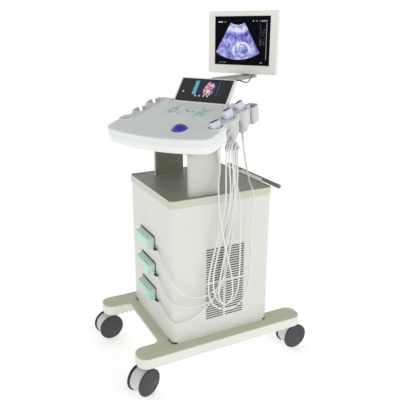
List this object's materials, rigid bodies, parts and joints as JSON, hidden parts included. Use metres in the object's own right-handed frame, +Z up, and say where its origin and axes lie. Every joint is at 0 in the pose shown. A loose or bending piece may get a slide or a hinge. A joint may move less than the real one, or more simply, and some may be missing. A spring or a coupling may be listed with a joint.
{
  "type": "ultrasound machine",
  "caption": "Cart-type ultrasound machine on swivelling castors, with a turning console, touch panel, tilting monitor on an arm and probes on cables.",
  "frame": {"origin": "on the floor, under the middle of the machine's outline", "axes": "+Z up; the cabinet's probe ports face -X and its grille faces -Y; the console is turned 31 degrees towards -Y at rest"},
  "size_m": [0.9674, 0.7787, 1.608],
  "materials": {
    "cream_paint": "smooth warm grey-white paint",
    "beam_paint": "cast alloy with warm grey-white paint",
    "tray_plastic": "cream edge, olive-grey top",
    "white_plastic": "fine moulded texture",
    "deck_plastic": "cool grey fine texture",
    "bezel_plastic": "warm grey fine texture",
    "charcoal_tyre": "smooth charcoal",
    "black_rubber": "matte",
    "steel": "bright",
    "zinc": "zinc plated",
    "circuit_board": "green board",
    "dark_plastic": "black moulded",
    "mint_plastic": "pale mint moulded",
    "keypad_film": "printed film",
    "lavender_plastic": "pale lavender",
    "ball_blue": "polished royal blue",
    "screen_glass": "black glass",
    "navy_rubber": "smooth navy lens",
    "probe_plastic": "white with a lavender cast",
    "white_cable": "soft white jacket",
    "grey_cable": "dark grey jacket",
    "filter_foam": "black open foam"
  },
  "bodies": {
    "root": {"base_beams": "beam_paint", "platform_plate": "cream_paint", "castor_stems": "steel", "cabinet_shell": "cream_paint", "vent_filter": "filter_foam", "fan_housing": "dark_plastic", "power_supply": "zinc", "card_cage": "circuit_board", "probe_ports": "dark_plastic", "probe_connectors": "mint_plastic", "rear_panel": "cream_paint", "mains_inlet": "dark_plastic", "top_tray": "tray_plastic", "corner_pads": "black_rubber", "rear_handle": "dark_plastic", "handle_bracket": "cream_paint", "support_posts": "beam_paint", "pivot_bridge": "beam_paint", "panel_screws": "zinc", "probe_cable_1": "white_cable", "probe_cable_2": "white_cable", "probe_cable_3": "white_cable"},
    "console": {"pivot_column": "beam_paint", "console_top_shell": "deck_plastic", "console_base_shell": "white_plastic", "holder_wing_right": "deck_plastic", "holder_wing_left": "deck_plastic", "keypad_overlay": "keypad_film", "trackball_ring": "lavender_plastic", "cable_hook": "deck_plastic", "display_arm": "deck_plastic", "monitor_cable": "grey_cable"},
    "trackball": {"trackball": "ball_blue"},
    "lcd": {"lcd_housing": "bezel_plastic", "lcd_glass": "screen_glass"},
    "monitor_yoke": {"monitor_yoke": "deck_plastic"},
    "monitor": {"monitor_back": "bezel_plastic", "monitor_bezel": "bezel_plastic", "monitor_screen": "screen_glass"},
    "fan_rotor": {"fan_rotor": "dark_plastic"},
    "power_switch": {"power_switch": "dark_plastic"},
    "castor_1": {"castor_hood_1": "white_plastic"},
    "wheels_1": {"castor_wheels_1": "charcoal_tyre"},
    "castor_2": {"castor_hood_2": "white_plastic"},
    "wheels_2": {"castor_wheels_2": "charcoal_tyre"},
    "castor_3": {"castor_hood_3": "white_plastic"},
    "wheels_3": {"castor_wheels_3": "charcoal_tyre"},
    "castor_4": {"castor_hood_4": "white_plastic"},
    "wheels_4": {"castor_wheels_4": "charcoal_tyre"},
    "button_1": {"lcd_button_1": "white_plastic"},
    "button_2": {"lcd_button_2": "white_plastic"},
    "button_3": {"lcd_button_3": "white_plastic"},
    "button_4": {"lcd_button_4": "white_plastic"},
    "button_5": {"lcd_button_5": "white_plastic"},
    "probe_1": {"probe_1": "probe_plastic", "probe_lens_1": "navy_rubber"},
    "probe_2": {"probe_2": "probe_plastic", "probe_lens_2": "navy_rubber"},
    "probe_3": {"probe_3": "probe_plastic", "probe_lens_3": "navy_rubber"}
  },
  "joints": [
    {"name": "castor_1_swivel", "type": "hinge", "parent": "root", "child": "castor_1", "pos_m": [-0.3785, -0.3067, 0.11], "axis": [0, 0, 1], "continuous": true},
    {"name": "castor_1_roll", "type": "hinge", "parent": "castor_1", "child": "wheels_1", "pos_m": [-0.41047, -0.32094, 0.0625], "axis": [0.4067, -0.9135, 0], "continuous": true},
    {"name": "castor_2_swivel", "type": "hinge", "parent": "root", "child": "castor_2", "pos_m": [-0.3785, 0.1853, 0.11], "axis": [0, 0, 1], "continuous": true},
    {"name": "castor_2_roll", "type": "hinge", "parent": "castor_2", "child": "wheels_2", "pos_m": [-0.41324, 0.18104, 0.0625], "axis": [0.1219, -0.9925, 0], "continuous": true},
    {"name": "castor_3_swivel", "type": "hinge", "parent": "root", "child": "castor_3", "pos_m": [0.3515, -0.3067, 0.11], "axis": [0, 0, 1], "continuous": true},
    {"name": "castor_3_roll", "type": "hinge", "parent": "castor_3", "child": "wheels_3", "pos_m": [0.38649, -0.30609, 0.0625], "axis": [-0.0175, 0.9998, 0], "continuous": true},
    {"name": "castor_4_swivel", "type": "hinge", "parent": "root", "child": "castor_4", "pos_m": [0.3515, 0.1853, 0.11], "axis": [0, 0, 1], "continuous": true},
    {"name": "castor_4_roll", "type": "hinge", "parent": "castor_4", "child": "wheels_4", "pos_m": [0.38573, 0.19258, 0.0625], "axis": [-0.2079, 0.9781, 0], "continuous": true},
    {"name": "console_swivel", "type": "hinge", "parent": "root", "child": "console", "pos_m": [-0.0885, -0.0607, 1.05], "axis": [0, 0, 1], "range_deg": [-76, 14], "deforming": ["probe_cable_1", "probe_cable_2", "probe_cable_3"]},
    {"name": "trackball_roll", "type": "hinge", "parent": "console", "child": "trackball", "pos_m": [-0.1758, -0.21815, 1.11658], "axis": [0.515, -0.8572, 0], "continuous": true},
    {"name": "lcd_tilt", "type": "hinge", "parent": "console", "child": "lcd", "pos_m": [0.02953, 0.01022, 1.1915], "axis": [0.515, -0.8572, 0], "range_deg": [-12, 22]},
    {"name": "monitor_swivel", "type": "hinge", "parent": "console", "child": "monitor_yoke", "pos_m": [0.42923, 0.25038, 1.32], "axis": [0, 0, 1], "range_deg": [-30, 30], "deforming": ["monitor_cable"]},
    {"name": "monitor_tilt", "type": "hinge", "parent": "monitor_yoke", "child": "monitor", "pos_m": [0.42923, 0.25038, 1.44], "axis": [0.515, -0.8572, 0], "range_deg": [-20, 4]},
    {"name": "fan_spin", "type": "hinge", "parent": "root", "child": "fan_rotor", "pos_m": [0.0005, -0.2792, 0.442], "axis": [0, 1, 0], "continuous": true},
    {"name": "power_rocker", "type": "hinge", "parent": "root", "child": "power_switch", "pos_m": [0.2305, -0.2207, 0.27], "axis": [0, 1, 0], "range_deg": [-8, 8]},
    {"name": "button_1_press", "type": "slide", "parent": "lcd", "child": "button_1", "axis": [0.6718, 0.4036, -0.6211], "range_m": [0, 0.002], "stiffness_N_per_m": 200},
    {"name": "button_2_press", "type": "slide", "parent": "lcd", "child": "button_2", "axis": [0.6718, 0.4036, -0.6211], "range_m": [0, 0.002], "stiffness_N_per_m": 200},
    {"name": "button_3_press", "type": "slide", "parent": "lcd", "child": "button_3", "axis": [0.6718, 0.4036, -0.6211], "range_m": [0, 0.002], "stiffness_N_per_m": 200},
    {"name": "button_4_press", "type": "slide", "parent": "lcd", "child": "button_4", "axis": [0.6718, 0.4036, -0.6211], "range_m": [0, 0.002], "stiffness_N_per_m": 200},
    {"name": "button_5_press", "type": "slide", "parent": "lcd", "child": "button_5", "axis": [0.6718, 0.4036, -0.6211], "range_m": [0, 0.002], "stiffness_N_per_m": 200},
    {"name": "probe_1_lift", "type": "slide", "parent": "console", "child": "probe_1", "axis": [-0.2045, -0.1229, 0.9711], "range_m": [0, 0.045]},
    {"name": "probe_2_lift", "type": "slide", "parent": "console", "child": "probe_2", "axis": [-0.2045, -0.1229, 0.9711], "range_m": [0, 0.045]},
    {"name": "probe_3_lift", "type": "slide", "parent": "console", "child": "probe_3", "axis": [-0.2045, -0.1229, 0.9711], "range_m": [0, 0.045]}
  ]
}
